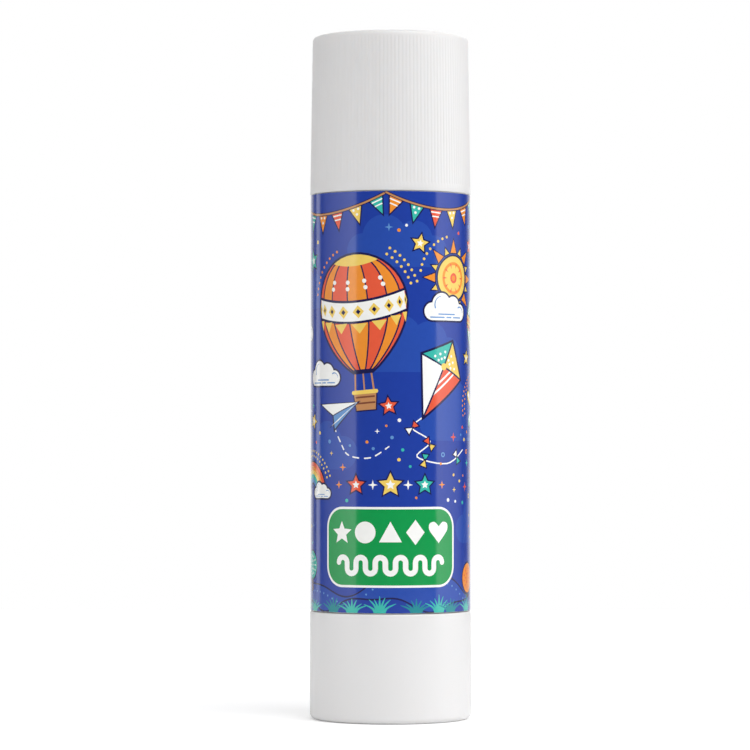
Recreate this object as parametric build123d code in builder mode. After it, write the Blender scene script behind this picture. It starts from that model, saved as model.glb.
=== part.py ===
from build123d import *
from math import ceil, cos, floor, radians, sin, tan
import os

# A small twist-up glue stick with its cap on: cap, barrel and label, knob, spindle, carrier and glue.
# Millimetres, +Z up. It stands on the knob's foot, with the origin on its axis at that level.
# The front of the label faces -Y, and its lap seam runs up the back.

# Radii, worked out from the glue to the outside
glue_radius = 7.1
glue_clearance = 0.15
guide_rib_height = 0.45
spigot_wall = 0.8
spigot_clearance = 0.1
knob_wall = 1.1
neck_wall = 0.7
neck_bead_rise = 0.06
cap_clearance = 0.02
cap_wall = 1.18
label_film = 0.08
label_adhesive = 0.02
knob_proud = 0.08

lip_bore = glue_radius + glue_clearance
main_bore = lip_bore + guide_rib_height
spigot_radius = main_bore + spigot_wall
knob_bore = spigot_radius + spigot_clearance
knob_radius = knob_bore + knob_wall
neck_radius = main_bore + neck_wall
label_radius = knob_radius - knob_proud
label_bore = label_radius - label_film
body_radius = label_bore - label_adhesive

# Heights, worked out from the foot upwards
foot_recess = 0.5
knob_floor = 1.0
hub_height = 3.5
flange_thickness = 1.0
carrier_gap = 0.3
knob_height = 12.9
knob_gap = 0.15
body_height = 49.85
cap_seat_gap = 0.05
neck_height = 13.4
lip_length = 10.2
cap_headroom = 4.4
cap_crown = 1.3

floor_top = foot_recess + knob_floor
hub_top = floor_top + hub_height
flange_top = hub_top + flange_thickness
carrier_bottom = flange_top + carrier_gap
body_bottom = knob_height + knob_gap
body_top = body_bottom + body_height
mouth = body_top + neck_height
cap_rim = body_top + cap_seat_gap
ceiling = mouth + cap_headroom
cap_top = ceiling + cap_crown
cap_height = cap_top - cap_rim
shoulder = mouth - lip_length

# Carrier: a guide ring, the cup for the glue, and the nut in the middle
ring_height = 3.5
ring_clearance = 0.15
cup_wall = 0.75
cup_floor = 1.2
cup_height = 12.0
nut_height = 6.0
nut_radius = 3.9
cup_slot_count = 4
cup_slot_width = 1.2
cup_slot_depth = 6.0
stop_gap = 0.3

ring_radius = main_bore - ring_clearance
ring_top = carrier_bottom + ring_height
cup_radius = glue_radius
cup_bore = cup_radius - cup_wall
cup_floor_top = carrier_bottom + cup_floor
cup_top = carrier_bottom + cup_height
nut_top = carrier_bottom + nut_height
travel = shoulder - stop_gap - ring_top

# Left-hand trapezoidal thread of the spindle, in flat facets so that its mesh stays light
thread_lead = 4.0
thread_facets = 12
thread_root = 1.9
thread_crest = 2.6
thread_clearance = 0.15
thread_crest_width = 0.9
thread_flank_width = 0.43
thread_grip = 4.1

rod_top = carrier_bottom + travel + thread_grip

# Glue
glue_drop = 1.8
glue_edge_chamfer = 0.4
glue_skin_gap = 0.03
rod_room = 0.3

glue_top = mouth - glue_drop
glue_bore = thread_crest + rod_room

# Guide ribs of the barrel, and the notches of the carrier that run on them
guide_rib_count = 4
guide_rib_width = 1.2
guide_rib_root = 0.3
guide_rib_lift = 1.5
notch_side_gap = 0.3
notch_floor_gap = 0.25

guide_rib_bottom = flange_top + guide_rib_lift

# Spigot that the knob snaps on to and turns on
spigot_floor_gap = 1.7
spigot_bead_rise = 0.22
spigot_bead_reach = 0.5
spigot_bead_drop = 4.55
spigot_lead_in = 0.35
bead_clearance = 0.13
bead_end_gap = 0.2

spigot_bottom = floor_top + spigot_floor_gap
spigot_bead = body_bottom - spigot_bead_drop

# Spindle's foot: a hexagonal tail pressed into the knob's hub, and the sealing flange
hub_radius = 3.2
tail_radius = 2.0
tail_clearance = 0.03
tail_end_gap = 0.4
flange_clearance = 0.2

# Knob
foot_rim_width = 1.8
foot_round = 0.7
knob_edge_chamfer = 0.35

# Cap: the outside tapers, and the plug skirt closes the mouth
cap_draft = 0.9
cap_edge_round = 0.55
cap_rim_chamfer = 0.1
plug_clearance = 0.1
plug_wall = 0.7
plug_depth = 1.2
neck_bead_reach = 0.5
neck_bead_height = 3.0

cap_bore = neck_radius + neck_bead_rise + cap_clearance
cap_rim_radius = cap_bore + cap_wall
cap_top_radius = cap_rim_radius - cap_height * tan(radians(cap_draft))
crown_centre = (
    cap_top_radius
    + cap_edge_round * tan(radians(cap_draft))
    - cap_edge_round / cos(radians(cap_draft))
)
plug_radius = lip_bore - plug_clearance
plug_bore = plug_radius - plug_wall
plug_bottom = mouth - plug_depth
neck_bead = body_top + neck_bead_height

# Grip ribs of the cap, left standing between fine V grooves
cap_rib_count = 132
cap_groove_width = 0.27
cap_rib_depth = 0.12
rim_band = 0.85
rib_end_gap = 0.05

# Label
label_end_gap = 0.05
label_lap = 3.0

# Edge of the mouth, the slopes that make up each round edge, and the overrun of every cut
mouth_chamfer = 0.25
edge_slopes = 3
overrun = 0.5


def bead_outline(radius, level, rise, reach):
    """Closed outline of a ridge of two slopes on a wall of this radius, or of a groove into a bore."""
    Polyline((radius, level - reach), (radius + rise, level), (radius, level + reach), close=True)


def round_edge(centre_radius, centre_level, radius, start, end):
    """Round edge from one angle to another, drawn as a few equal slopes so that its mesh stays light."""
    angles = [start + (end - start) * n / edge_slopes for n in range(edge_slopes + 1)]
    return [
        (centre_radius + radius * cos(radians(a)), centre_level + radius * sin(radians(a)))
        for a in angles
    ]


def screw_point(step, radius, lift):
    """Corner of the thread at a facet edge: lift is its height above the middle of the crest."""
    angle = radians(-360 * step / thread_facets)
    level = thread_lead * step / thread_facets
    return (radius * cos(angle), radius * sin(angle), level + lift)


def screw_core(bottom, top, clearance=0):
    """Left-hand screw between two levels. Every screw made here lies on one and the same helix."""
    root = thread_root + clearance
    crest = thread_crest + clearance
    crest_half = thread_crest_width / 2 + clearance
    root_half = crest_half + thread_flank_width
    first = floor((bottom / thread_lead - 1) * thread_facets)
    last = ceil((top / thread_lead + 1) * thread_facets)
    facets = []
    for step in range(first, last):
        low_root, low_crest, high_crest, high_root = [
            (screw_point(step, radius, lift), screw_point(step + 1, radius, lift))
            for radius, lift in (
                (root, -root_half),
                (crest, -crest_half),
                (crest, crest_half),
                (root, root_half),
            )
        ]
        facets += [
            (low_root[0], low_root[1], low_crest[1]),
            (low_root[0], low_crest[1], low_crest[0]),
            (low_crest[0], low_crest[1], high_crest[1], high_crest[0]),
            (high_crest[0], high_crest[1], high_root[1]),
            (high_crest[0], high_root[1], high_root[0]),
        ]
        if step < last - thread_facets:
            turn_up = [
                screw_point(step + thread_facets + end, root, -root_half) for end in (1, 0)
            ]
            facets.append((high_root[0], high_root[1], *turn_up))
    for end, side in ((first, -1), (last, 1)):
        hub = (0, 0, thread_lead * end / thread_facets)
        other_turn = end - side * thread_facets
        for step in range(min(end, other_turn), max(end, other_turn)):
            edge = [screw_point(step + n, root, side * root_half) for n in (0, 1)]
            facets.append((hub, *edge))
        facets.append(
            (
                hub,
                screw_point(end, root, side * root_half),
                screw_point(end, crest, side * crest_half),
                screw_point(end, crest, -side * crest_half),
                screw_point(end, root, -side * root_half),
                screw_point(other_turn, root, side * root_half),
            )
        )
    blank = Solid(Shell([Face(Wire.make_polygon(corners)) for corners in facets]))
    with BuildPart() as core:
        add(blank)
        split(bisect_by=Plane.XY.offset(bottom), keep=Keep.TOP)
        split(bisect_by=Plane.XY.offset(top), keep=Keep.BOTTOM)
    return core.part


# Barrel: spigot, body, neck and lip in one moulding
with BuildPart() as barrel:
    with BuildSketch(Plane.XZ) as barrel_profile:
        with BuildLine():
            Polyline(
                (main_bore, spigot_bottom),
                (spigot_radius - spigot_lead_in, spigot_bottom),
                (spigot_radius, spigot_bottom + spigot_lead_in),
                (spigot_radius, body_bottom),
                (body_radius, body_bottom),
                (body_radius, body_top),
                (neck_radius, body_top),
                (neck_radius, mouth),
                (lip_bore, mouth),
                (lip_bore, shoulder),
                (main_bore, shoulder),
                close=True,
            )
        make_face()
        chamfer(barrel_profile.vertices().group_by(Axis.Y)[-1], length=mouth_chamfer)
        with BuildLine():
            bead_outline(spigot_radius, spigot_bead, spigot_bead_rise, spigot_bead_reach)
        make_face()
        with BuildLine():
            bead_outline(neck_radius, neck_bead, neck_bead_rise, neck_bead_reach)
        make_face()
    revolve(axis=Axis.Z)
    with BuildSketch(Plane.XY.offset(guide_rib_bottom)):
        with PolarLocations(lip_bore, guide_rib_count):
            Rectangle(
                guide_rib_height + guide_rib_root,
                guide_rib_width,
                align=(Align.MIN, Align.CENTER),
            )
    extrude(amount=shoulder - guide_rib_bottom)

# Label: one turn of printed film, with its lap at the back
with BuildPart() as label:
    label_height = body_height - 2 * label_end_gap
    label_plane = Plane.XY.offset(body_bottom + label_end_gap)
    with BuildSketch(label_plane):
        Circle(label_radius)
        Circle(label_bore, mode=Mode.SUBTRACT)
    extrude(amount=label_height)
    with BuildSketch(label_plane):
        with Locations((0, label_radius)):
            Rectangle(label_lap, label_radius)
        Circle(label_radius + label_film, mode=Mode.INTERSECT)
        Circle(label_bore, mode=Mode.SUBTRACT)
    extrude(amount=label_height)

# Knob: cup with a foot rim, the groove for the spigot's bead, and the hub for the spindle's tail
with BuildPart() as knob:
    with BuildSketch(Plane.XZ) as knob_profile:
        with BuildLine():
            Polyline(
                (0, foot_recess),
                (knob_radius - foot_rim_width, foot_recess),
                (knob_radius - foot_rim_width, 0),
                *round_edge(knob_radius - foot_round, foot_round, foot_round, -90, 0),
                (knob_radius, knob_height),
                (knob_bore, knob_height),
                (knob_bore, floor_top),
                (hub_radius, floor_top),
                (hub_radius, hub_top),
                (0, hub_top),
                close=True,
            )
        make_face()
        upper_corner = knob_profile.vertices().group_by(Axis.X)[-1].sort_by(Axis.Y)[-1]
        chamfer(upper_corner, length=knob_edge_chamfer)
        with BuildLine():
            bead_outline(
                knob_bore,
                spigot_bead,
                spigot_bead_rise - spigot_clearance + bead_clearance,
                spigot_bead_reach + bead_end_gap,
            )
        make_face(mode=Mode.SUBTRACT)
    revolve(axis=Axis.Z)
    with BuildSketch(Plane.XY.offset(hub_top)):
        RegularPolygon(radius=tail_radius + tail_clearance, side_count=6)
    extrude(amount=-hub_height, mode=Mode.SUBTRACT)

# Spindle: tail, flange and screw
spindle_screw = screw_core(hub_top + flange_thickness / 2, rod_top)
with BuildPart() as spindle:
    with BuildSketch(Plane.XY.offset(hub_top)):
        RegularPolygon(radius=tail_radius, side_count=6)
    extrude(amount=tail_end_gap - hub_height)
    with BuildSketch(Plane.XY.offset(hub_top)):
        Circle(main_bore - flange_clearance)
    extrude(amount=flange_thickness)
    add(spindle_screw)

# Carrier: nut, cup and guide ring in one moulding
nut_thread = screw_core(carrier_bottom - overrun, nut_top + overrun, thread_clearance)
with BuildPart() as carrier:
    with BuildSketch(Plane.XZ):
        with BuildLine():
            Polyline(
                (0, carrier_bottom),
                (ring_radius, carrier_bottom),
                (ring_radius, ring_top),
                (cup_radius, ring_top),
                (cup_radius, cup_top),
                (cup_bore, cup_top),
                (cup_bore, cup_floor_top),
                (nut_radius, cup_floor_top),
                (nut_radius, nut_top),
                (0, nut_top),
                close=True,
            )
        make_face()
    revolve(axis=Axis.Z)
    with BuildSketch(Plane.XY.offset(ring_top)):
        with PolarLocations(lip_bore - notch_floor_gap, guide_rib_count):
            Rectangle(
                ring_radius - lip_bore + notch_floor_gap + overrun,
                guide_rib_width + 2 * notch_side_gap,
                align=(Align.MIN, Align.CENTER),
            )
    extrude(amount=-ring_height, mode=Mode.SUBTRACT)
    with BuildSketch(Plane.XY.offset(cup_top)):
        with PolarLocations(cup_bore - overrun, cup_slot_count, start_angle=180 / cup_slot_count):
            Rectangle(cup_wall + 2 * overrun, cup_slot_width, align=(Align.MIN, Align.CENTER))
    extrude(amount=-cup_slot_depth, mode=Mode.SUBTRACT)
    add(nut_thread, mode=Mode.SUBTRACT)

# Glue: cast into the cup round the nut, with the spindle's way up the middle
with BuildPart() as glue:
    with BuildSketch(Plane.XZ) as glue_profile:
        with BuildLine():
            Polyline(
                (nut_radius + glue_skin_gap, cup_floor_top + glue_skin_gap),
                (cup_bore - glue_skin_gap, cup_floor_top + glue_skin_gap),
                (cup_bore - glue_skin_gap, cup_top + glue_skin_gap),
                (glue_radius, cup_top + glue_skin_gap),
                (glue_radius, glue_top),
                (0, glue_top),
                (0, rod_top + rod_room),
                (glue_bore, rod_top + rod_room),
                (glue_bore, nut_top + glue_skin_gap),
                (nut_radius + glue_skin_gap, nut_top + glue_skin_gap),
                close=True,
            )
        make_face()
        rim_corner = glue_profile.vertices().group_by(Axis.Y)[-1].sort_by(Axis.X)[-1]
        chamfer(rim_corner, length=glue_edge_chamfer)
    revolve(axis=Axis.Z)

# Cutter for one groove between two grip ribs, laid along the slope of the cap's side
draft_run = sin(radians(cap_draft))
draft_rise = cos(radians(cap_draft))
groove_plane = Plane(
    origin=(cap_rim_radius - rim_band * tan(radians(cap_draft)), 0, cap_rim + rim_band),
    x_dir=(draft_rise, 0, draft_run),
    z_dir=(-draft_run, 0, draft_rise),
)
with BuildPart() as rib_groove:
    with BuildSketch(groove_plane):
        with BuildLine():
            groove_flare = cap_groove_width / 2 * (1 + overrun / cap_rib_depth)
            Polyline(
                (-cap_rib_depth, 0),
                (overrun, groove_flare),
                (overrun, -groove_flare),
                close=True,
            )
        make_face()
    extrude(amount=cap_height - rim_band - cap_edge_round - rib_end_gap)

# Cap: tapered shell with the plug skirt under its crown
with BuildPart() as cap:
    with BuildSketch(Plane.XZ) as cap_profile:
        with BuildLine():
            Polyline(
                (0, cap_top),
                *round_edge(crown_centre, cap_top - cap_edge_round, cap_edge_round, 90, cap_draft),
                (cap_rim_radius, cap_rim),
                (cap_bore, cap_rim),
                (cap_bore, ceiling),
                (plug_radius, ceiling),
                (plug_radius, plug_bottom),
                (plug_bore, plug_bottom),
                (plug_bore, ceiling),
                (0, ceiling),
                close=True,
            )
        make_face()
        chamfer(cap_profile.vertices().group_by(Axis.Y)[0], length=cap_rim_chamfer)
    revolve(axis=Axis.Z)
    with PolarLocations(0, cap_rib_count):
        add(rib_groove.part, mode=Mode.SUBTRACT)

pieces = {
    "barrel": barrel,
    "label": label,
    "knob": knob,
    "spindle": spindle,
    "carrier": carrier,
    "glue": glue,
    "cap": cap,
}
os.makedirs("parts", exist_ok=True)
for name, piece in pieces.items():
    piece.part.label = name
    export_step(piece.part, f"parts/{name}.step")
print(f"travel {travel:.3f} mm = {travel / thread_lead:.3f} turns")
print(f"cap bore {cap_bore:.3f}, side {cap_top_radius:.3f} to {cap_rim_radius:.3f}")
print(f"body radius {body_radius:.3f}, label {label_bore:.3f} to {label_radius:.3f}, top {cap_top:.3f}")
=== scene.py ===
import random
from math import atan, atan2, cos, degrees, hypot, pi, radians, sin, sqrt, tan, tau

import bmesh
import bpy
import numpy as np
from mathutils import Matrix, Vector
from mathutils.geometry import delaunay_2d_cdt


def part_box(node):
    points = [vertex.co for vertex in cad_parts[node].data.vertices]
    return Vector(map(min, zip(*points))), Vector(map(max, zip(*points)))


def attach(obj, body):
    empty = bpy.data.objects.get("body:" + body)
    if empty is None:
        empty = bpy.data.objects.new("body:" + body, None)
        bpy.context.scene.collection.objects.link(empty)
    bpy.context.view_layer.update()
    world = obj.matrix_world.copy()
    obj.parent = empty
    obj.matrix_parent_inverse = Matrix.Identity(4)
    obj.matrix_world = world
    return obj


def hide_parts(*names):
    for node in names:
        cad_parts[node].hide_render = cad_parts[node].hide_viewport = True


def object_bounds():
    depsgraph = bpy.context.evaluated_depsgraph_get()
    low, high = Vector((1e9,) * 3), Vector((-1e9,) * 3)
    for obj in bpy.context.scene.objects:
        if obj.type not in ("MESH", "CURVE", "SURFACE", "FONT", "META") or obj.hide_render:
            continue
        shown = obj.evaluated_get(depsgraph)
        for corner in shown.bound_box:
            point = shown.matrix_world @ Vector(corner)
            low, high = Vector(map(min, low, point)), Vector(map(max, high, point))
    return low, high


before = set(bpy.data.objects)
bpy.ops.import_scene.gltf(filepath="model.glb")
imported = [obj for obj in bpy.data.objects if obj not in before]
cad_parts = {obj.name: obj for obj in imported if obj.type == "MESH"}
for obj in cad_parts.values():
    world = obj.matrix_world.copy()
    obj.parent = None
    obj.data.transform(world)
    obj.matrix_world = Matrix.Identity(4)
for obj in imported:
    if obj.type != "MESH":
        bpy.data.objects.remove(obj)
cad_low, cad_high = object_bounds()

# Sizes are in metres, and those of the print are in millimetres on the unrolled film
MM = 0.001

# Places that the solids give
label_low, label_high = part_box("label")
_, knob_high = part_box("knob")
cap_low, cap_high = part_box("cap")
glue_low, glue_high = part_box("glue")
knob_radius = knob_high.x
cap_rim_radius = cap_high.x
label_radius = label_high.x
label_height = (label_high.z - label_low.z) / MM

# Camera of the photograph: its distance, its height above the floor, and the point it looks at
camera_distance = 0.417
camera_height = 0.0345
camera_target = Vector((-0.00186, 0, 0.0413))
camera_lens = 166.1


# Colours

def linear(hex_colour):
    """Linear colour of an sRGB colour written as rrggbb."""
    values = [int(hex_colour[i : i + 2], 16) / 255 for i in (0, 2, 4)]
    return [v / 12.92 if v <= 0.04045 else ((v + 0.055) / 1.055) ** 2.4 for v in values]


inks = {
    "blue": "1f3fa3",
    "dusk": "284eae",
    "navy": "1b1c4e",
    "coral": "ee5f40",
    "orange": "f79633",
    "yellow": "f8d568",
    "teal": "3cbfb0",
    "deep_teal": "1c8f96",
    "sky": "6397d2",
    "white": "fbfbf8",
    "tan": "c98f5e",
    "brown": "7f4a37",
    "green": "0b9c4e",
    "film_back": "e9e9e6",
}


# Materials

def feed(tree, node, inputs):
    """Gives inputs of a node their values, or links them to the sockets given instead."""
    for name, value in inputs.items():
        if isinstance(value, bpy.types.NodeSocket):
            tree.links.new(value, node.inputs[name])
        else:
            node.inputs[name].default_value = value


def add(tree, kind, inputs=None, **settings):
    """New shader node with its settings and inputs."""
    node = tree.nodes.new("ShaderNode" + kind)
    for name, value in settings.items():
        setattr(node, name, value)
    feed(tree, node, inputs or {})
    return node


def node_material(name):
    """New material with its node tree and its shader."""
    material = bpy.data.materials.new(name)
    material.use_nodes = True
    return material, material.node_tree, material.node_tree.nodes["Principled BSDF"]


def noise(tree, scale, detail, stretch=(1, 1, 1)):
    """Noise over the piece's own coordinates, in cells per metre, stretched along an axis if asked."""
    place = add(tree, "TexCoord").outputs["Object"]
    mapping = add(tree, "Mapping", {"Vector": place, "Scale": stretch}).outputs["Vector"]
    return add(tree, "TexNoise", {"Vector": mapping, "Scale": scale, "Detail": detail}).outputs["Fac"]


def remap(tree, value, low, high, before=(0.15, 0.85), **settings):
    """A value spread between two new limits. Those before are what most of a noise lies between."""
    limits = {"From Min": before[0], "From Max": before[1], "To Min": low, "To Max": high}
    return add(tree, "MapRange", {"Value": value, **limits}, **settings).outputs["Result"]


def mottled(tree, noise_value, colour_a, colour_b):
    """Two colours mixed by a noise."""
    inputs = {0: remap(tree, noise_value, 0, 1), 6: (*colour_a, 1), 7: (*colour_b, 1)}
    return add(tree, "Mix", inputs, data_type="RGBA").outputs[2]


def bump(tree, height, strength, distance, below=None):
    """Normal of a bumpy surface, on top of another bump if one is given."""
    inputs = {"Height": height, "Strength": strength, "Distance": distance}
    if below is not None:
        inputs["Normal"] = below
    return add(tree, "Bump", inputs).outputs["Normal"]


def moulded_plastic(name, colour, shade, rough_low, rough_high, grain, glow):
    """White moulded plastic: faint flow marks, fine grain and a little light through the wall."""
    material, tree, shader = node_material(name)
    waves = bump(tree, noise(tree, 90, 0), 0.05, 0.00006)
    feed(tree, shader, {
        "Base Color": mottled(tree, noise(tree, 90, 3, (1, 1, 0.25)), linear(colour), linear(shade)),
        "Roughness": remap(tree, noise(tree, 35, 1), rough_low, rough_high),
        "Normal": bump(tree, noise(tree, 5200, 2), grain, 0.00001, waves),
        "IOR": 1.49,
        "Subsurface Weight": glow,
        "Subsurface Radius": (1.0, 0.92, 0.85),
        "Subsurface Scale": 0.0009,
    })
    return material


def printed_film(name, colour):
    """One ink of the label under clear gloss film, with the faint mottle of a printed solid."""
    material, tree, shader = node_material("film_" + name)
    base = linear(colour)
    darker = [c * (0.985 if min(base) > 0.7 else 0.93) for c in base]
    feed(tree, shader, {
        "Base Color": mottled(tree, noise(tree, 1500, 4), base, darker),
        "Roughness": remap(tree, noise(tree, 300, 2), 0.20, 0.26),
        "Normal": bump(tree, noise(tree, 160, 2), 0.12, 0.00006),
        "Specular IOR Level": 0.1,
        "Coat Weight": 0.8,
        "Coat Roughness": 0.13,
    })
    return material


def glue_paste(name):
    """Cast glue: white, waxy and slightly see-through, with drag marks from the mouth."""
    material, tree, shader = node_material(name)
    drag = bump(tree, noise(tree, 900, 3, (1, 1, 0.06)), 0.25, 0.00006)
    feed(tree, shader, {
        "Base Color": mottled(tree, noise(tree, 220, 4), linear("ecebe6"), linear("e6e4de")),
        "Roughness": remap(tree, noise(tree, 60, 2), 0.34, 0.46),
        "Normal": bump(tree, noise(tree, 2600, 3), 0.16, 0.00002, drag),
        "IOR": 1.42,
        "Subsurface Weight": 0.55,
        "Subsurface Radius": (1.0, 0.95, 0.8),
        "Subsurface Scale": 0.0016,
    })
    return material


cap_plastic = moulded_plastic("cap_plastic", "e6e5e5", "e3e2e2", 0.33, 0.36, 0.08, 0.6)
knob_plastic = moulded_plastic("knob_plastic", "ecebeb", "e9e8e8", 0.23, 0.27, 0.05, 0.25)
barrel_plastic = moulded_plastic("barrel_plastic", "e5e5e5", "e1e1e1", 0.32, 0.38, 0.10, 0.20)
inner_plastic = moulded_plastic("inner_plastic", "dfe0dd", "d9dad7", 0.42, 0.55, 0.20, 0.30)
glue_material = glue_paste("glue_paste")


# Meshes that turn about the stick's axis

sharp_angle = radians(38)


def in_scene(name, data):
    """New object of the scene with this data."""
    made = bpy.data.objects.new(name, data)
    bpy.context.scene.collection.objects.link(made)
    return made


def circle_points(radius, level, count, dent=lambda angle: 0):
    """One ring of points. dent gives how far the surface lies inside the radius at an angle."""
    turns = [tau * i / count for i in range(count)]
    return [((radius - dent(a)) * cos(a), (radius - dent(a)) * sin(a), level) for a in turns]


def turned(name, rings, material):
    """Closed mesh through rings of points, from a point on the axis to another. Where two rings differ in
    count, each face takes several points of the finer one."""
    builder = bmesh.new()
    rows = [[builder.verts.new(p) for p in ring] for ring in rings]
    for a, b in zip(rows, rows[1:]):
        fine, coarse = (a, b) if len(a) >= len(b) else (b, a)
        ratio = len(fine) // len(coarse)
        for i in range(len(coarse) if len(coarse) > 1 else len(fine)):
            if len(coarse) == 1:
                face = [coarse[0], fine[(i + 1) % len(fine)], fine[i]]
            else:
                span = [fine[(i * ratio + n) % len(fine)] for n in range(ratio + 1)]
                face = [coarse[i], coarse[(i + 1) % len(coarse)], *reversed(span)]
            builder.faces.new(face)
    bmesh.ops.recalc_face_normals(builder, faces=builder.faces)
    for face in builder.faces:
        face.smooth = True
    for edge in builder.edges:
        if len(edge.link_faces) == 2 and edge.calc_face_angle() > sharp_angle:
            edge.smooth = False
    mesh = bpy.data.meshes.new(name)
    builder.to_mesh(mesh)
    builder.free()
    mesh.materials.append(material)
    return in_scene(name, mesh)


def arc(centre_r, centre_z, radius, start, end, steps):
    """Points (r, z) of a round edge, both ends included."""
    turn = [radians(start + (end - start) * n / steps) for n in range(steps + 1)]
    return [(centre_r + radius * cos(a), centre_z + radius * sin(a)) for a in turn]


# Cap: ribbed outside, smooth rim band, bore, crown and plug skirt
cap_ribs = 132
rib_samples = 8
rib_depth = 0.035 * MM
rib_groove_share = 0.3
rib_run_out = 0.35 * MM
rim_band = 0.85 * MM
crown_round = 0.55 * MM
rim_round = 0.12 * MM
cap_draft = tan(radians(0.9))
cap_bore = 8.48 * MM
cap_ceiling = 1.3 * MM
plug_outer = 7.15 * MM
plug_inner = 6.45 * MM
plug_low = cap_high.z - 6.9 * MM
gate_dish = 1.6 * MM


def groove_between_ribs(angle):
    """Share of the full groove depth at an angle: 1 in the middle of a groove, 0 on a rib."""
    phase = (angle * cap_ribs / tau + 0.5) % 1 - 0.5
    if abs(phase) >= rib_groove_share:
        return 0
    return 0.5 * (1 + cos(pi * phase / rib_groove_share))


def make_cap():
    top, rim = cap_high.z, cap_low.z
    fine, coarse = cap_ribs * rib_samples, cap_ribs * 2
    side = lambda z: cap_rim_radius - (z - rim) * cap_draft
    crown = side(top - crown_round) - crown_round
    profile = [(0.35 * MM, top - 0.10 * MM), (0.5 * MM, top - 0.28 * MM), (1.3 * MM, top - 0.28 * MM)]
    profile += [(gate_dish - 0.1 * MM, top - 0.22 * MM), (gate_dish, top - 0.04 * MM)]
    profile += [(gate_dish + 0.12 * MM, top), (crown - 0.6 * MM, top)]
    rings = [[(0, 0, top - 0.12 * MM)]]
    rings += [circle_points(r, z, coarse) for r, z in profile]
    rings += [circle_points(r, z, fine) for r, z in arc(crown, top - crown_round, crown_round, 90, 1, 8)]
    rib_top, rib_low = top - crown_round - 0.05 * MM, rim + rim_band
    ribbed = [
        (rib_top - rib_run_out * share, rib_depth * (0.5 - 0.5 * cos(pi * share)))
        for share in (0, 0.25, 0.5, 0.75, 1)
    ]
    ribbed += [(z, rib_depth) for z in np.linspace(rib_top - rib_run_out - 1 * MM, rib_low + 0.3 * MM, 8)]
    ribbed += [(rib_low + 0.12 * MM * share, rib_depth * share) for share in (0.66, 0.33, 0)]
    for z, depth in ribbed:
        rings.append(circle_points(side(z), z, fine, lambda a: depth * groove_between_ribs(a)))
    profile = [(side(rim + rim_round), rim + rim_round)]
    profile += arc(cap_rim_radius - rim_round, rim + rim_round, rim_round, -18, -90, 4)
    rings += [circle_points(r, z, fine) for r, z in profile]
    ceiling = top - cap_ceiling
    profile = [(cap_bore + 0.25 * MM, rim), (cap_bore, rim + 0.25 * MM)]
    profile += [(cap_bore, z) for z in np.linspace(rim + 2 * MM, ceiling - 0.3 * MM, 5)]
    profile += arc(cap_bore - 0.3 * MM, ceiling - 0.3 * MM, 0.3 * MM, 15, 90, 4)
    profile += [(plug_outer, ceiling), (plug_outer, plug_low + 0.2 * MM)]
    profile += arc(plug_outer - 0.2 * MM, plug_low + 0.2 * MM, 0.2 * MM, -20, -90, 3)
    profile += [(plug_inner + 0.15 * MM, plug_low), (plug_inner, plug_low + 0.15 * MM)]
    profile += [(plug_inner, ceiling - 0.2 * MM), (plug_inner - 0.2 * MM, ceiling)]
    rings += [circle_points(r, z, coarse) for r, z in profile]
    rings.append([(0, 0, ceiling)])
    return turned("ribbed_cap", rings, cap_plastic)


# Knob: plain side, round foot, recess with its gate mark, hub inside
foot_round = 0.7 * MM
knob_edge_round = 0.2 * MM
knob_rise = 0.06 * MM
foot_inner = knob_radius - 1.8 * MM
foot_recess = 0.5 * MM
knob_bore = 8.6 * MM
knob_floor_top = 1.5 * MM
hub_radius = 3.2 * MM
hub_top = 5.0 * MM
hub_socket = 2.03 * MM
snap_level = 8.5 * MM
snap_reach = 0.7 * MM
snap_depth = 0.25 * MM


def make_knob():
    count = 256
    top = knob_high.z + knob_rise
    profile = [(0.4 * MM, foot_recess - 0.12 * MM), (0.55 * MM, foot_recess), (1.5 * MM, foot_recess)]
    profile += [(1.6 * MM, foot_recess + 0.08 * MM), (2.0 * MM, foot_recess + 0.08 * MM)]
    profile += [(2.1 * MM, foot_recess), (foot_inner - 0.25 * MM, foot_recess)]
    profile += arc(foot_inner - 0.25 * MM, foot_recess - 0.25 * MM, 0.25 * MM, 90, 0, 4)[1:]
    profile += arc(foot_inner + 0.15 * MM, 0.15 * MM, 0.15 * MM, 180, 270, 3)
    profile += arc(knob_radius - foot_round, foot_round, foot_round, -90, 0, 10)
    profile += [(knob_radius, z) for z in np.linspace(2 * MM, top - 1 * MM, 6)]
    edge = knob_radius - knob_edge_round
    profile += arc(edge, top - knob_edge_round, knob_edge_round, 0, 90, 5)
    profile += [(knob_bore + 0.1 * MM, top), (knob_bore, top - 0.1 * MM)]
    profile += [(knob_bore, snap_level + snap_reach), (knob_bore + snap_depth, snap_level)]
    profile += [(knob_bore, snap_level - snap_reach), (knob_bore, knob_floor_top)]
    profile += [(hub_radius, knob_floor_top), (hub_radius, hub_top), (hub_socket, hub_top)]
    profile += [(hub_socket, knob_floor_top)]
    rings = [circle_points(r, z, count) for r, z in profile]
    rings = [[(0, 0, foot_recess - 0.12 * MM)], *rings, [(0, 0, knob_floor_top)]]
    return turned("turning_knob", rings, knob_plastic)


# Glue: cast stick with a slightly uneven skin, and the screw's way up the middle
glue_radius = 7.1 * MM
glue_foot_radius = 6.32 * MM
glue_cup_top = 18.33 * MM
glue_bore = 2.9 * MM
glue_bore_top = 66.7 * MM
glue_nut_radius = 3.93 * MM
glue_nut_top = 12.33 * MM
glue_skin = 0.05 * MM


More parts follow.
